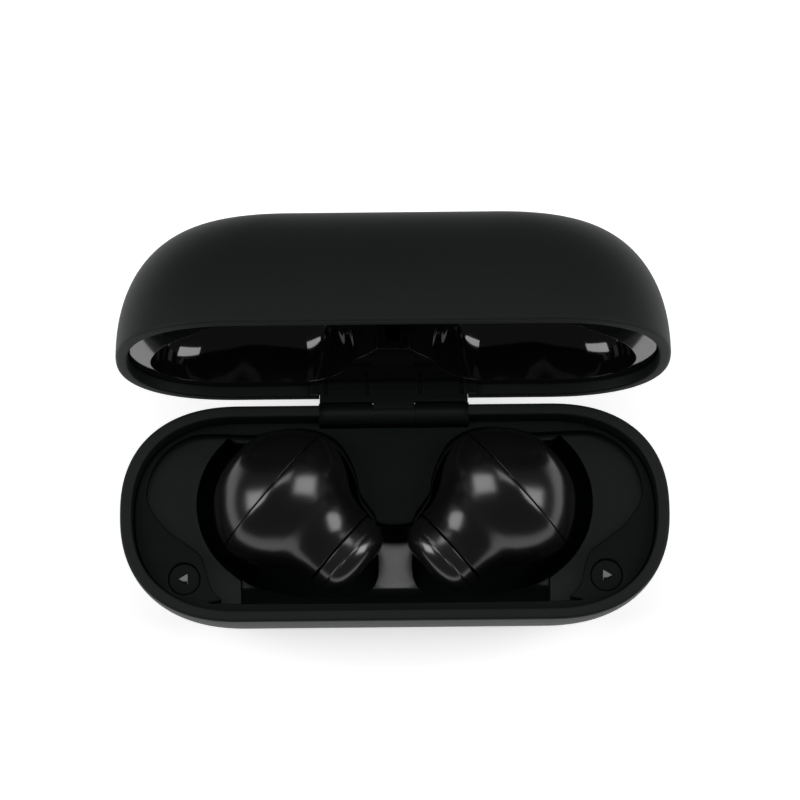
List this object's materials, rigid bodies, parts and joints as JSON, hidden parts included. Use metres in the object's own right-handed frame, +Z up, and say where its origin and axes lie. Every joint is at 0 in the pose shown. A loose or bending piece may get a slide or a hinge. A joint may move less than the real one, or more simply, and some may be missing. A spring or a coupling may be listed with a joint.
{
  "type": "wireless earbuds case",
  "caption": "Pill-shaped charging case for in-ear wireless earbuds, hinged lid open, both earbuds seated in a moulded tray with spring contacts.",
  "frame": {"origin": "centre of the base's flat bottom, which rests on the ground", "axes": "+Z up, X across the width (wearer's left earbud at -X), front at -Y, hinge at the rear, +Y"},
  "size_m": [0.066, 0.0459, 0.0401],
  "materials": {
    "black_moulding": "moulded",
    "board": "solder mask",
    "bud_plastic": "satin",
    "gloss_plastic": "high gloss",
    "gold": "gold plated",
    "magnet": "nickel plated",
    "pouch": "pouch foil",
    "shell_plastic": "fine matt texture",
    "silicone": "satin silicone",
    "steel": "satin",
    "tray_plastic": "satin, fine grain"
  },
  "bodies": {
    "case": {"base_shell": "shell_plastic", "case_battery": "pouch", "hinge_pin": "steel", "hinge_spring": "steel", "left_base_knuckle": "shell_plastic", "left_base_magnet": "magnet", "left_mark_disc": "tray_plastic", "left_pogo_barrel_1": "gold", "left_pogo_barrel_2": "gold", "lid_hall_sensor": "black_moulding", "main_pcb": "board", "pocket_cradle": "tray_plastic", "right_base_knuckle": "shell_plastic", "right_base_magnet": "magnet", "right_mark_disc": "tray_plastic", "right_pogo_barrel_1": "gold", "right_pogo_barrel_2": "gold", "tray_bezel": "tray_plastic", "usb_c_receptacle": "steel", "usb_c_tongue": "black_moulding"},
    "lid": {"left_lid_magnet": "magnet", "lid_hinge_leaf": "shell_plastic", "lid_liner": "gloss_plastic", "lid_shell": "shell_plastic", "right_lid_magnet": "magnet"},
    "left_earbud": {"left_bud_battery": "steel", "left_bud_contact_1": "gold", "left_bud_contact_2": "gold", "left_bud_inner_shell": "bud_plastic", "left_bud_magnet": "magnet", "left_bud_outer_shell": "bud_plastic", "left_bud_pcb": "board", "left_ear_tip": "silicone", "left_nozzle_mesh": "steel", "left_speaker_driver": "black_moulding"},
    "right_earbud": {"right_bud_battery": "steel", "right_bud_contact_1": "gold", "right_bud_contact_2": "gold", "right_bud_inner_shell": "bud_plastic", "right_bud_magnet": "magnet", "right_bud_outer_shell": "bud_plastic", "right_bud_pcb": "board", "right_ear_tip": "silicone", "right_nozzle_mesh": "steel", "right_speaker_driver": "black_moulding"},
    "left_pogo_plunger_1": {"left_pogo_plunger_1": "gold"},
    "left_pogo_plunger_2": {"left_pogo_plunger_2": "gold"},
    "right_pogo_plunger_1": {"right_pogo_plunger_1": "gold"},
    "right_pogo_plunger_2": {"right_pogo_plunger_2": "gold"}
  },
  "joints": [
    {"name": "lid_hinge", "type": "hinge", "parent": "case", "child": "lid", "pos_m": [0, 0.01255, 0.01465], "axis": [-1, 0, 0], "range_deg": [-96, 0], "stiffness_Nm_per_rad": 0.0006, "springref_deg": 28.65},
    {"name": "left_earbud_lift", "type": "slide", "parent": "case", "child": "left_earbud", "axis": [0, 0, 1], "range_m": [0, 0.024]},
    {"name": "left_pogo_1_travel", "type": "slide", "parent": "case", "child": "left_pogo_plunger_1", "axis": [0, 0, 1], "range_m": [-0.0008, 0], "stiffness_N_per_m": 250, "springref_m": 0.0012},
    {"name": "left_pogo_2_travel", "type": "slide", "parent": "case", "child": "left_pogo_plunger_2", "axis": [0, 0, 1], "range_m": [-0.0008, 0], "stiffness_N_per_m": 250, "springref_m": 0.0012},
    {"name": "right_earbud_lift", "type": "slide", "parent": "case", "child": "right_earbud", "axis": [0, 0, 1], "range_m": [0, 0.024]},
    {"name": "right_pogo_1_travel", "type": "slide", "parent": "case", "child": "right_pogo_plunger_1", "axis": [0, 0, 1], "range_m": [-0.0008, 0], "stiffness_N_per_m": 250, "springref_m": 0.0012},
    {"name": "right_pogo_2_travel", "type": "slide", "parent": "case", "child": "right_pogo_plunger_2", "axis": [0, 0, 1], "range_m": [-0.0008, 0], "stiffness_N_per_m": 250, "springref_m": 0.0012}
  ]
}
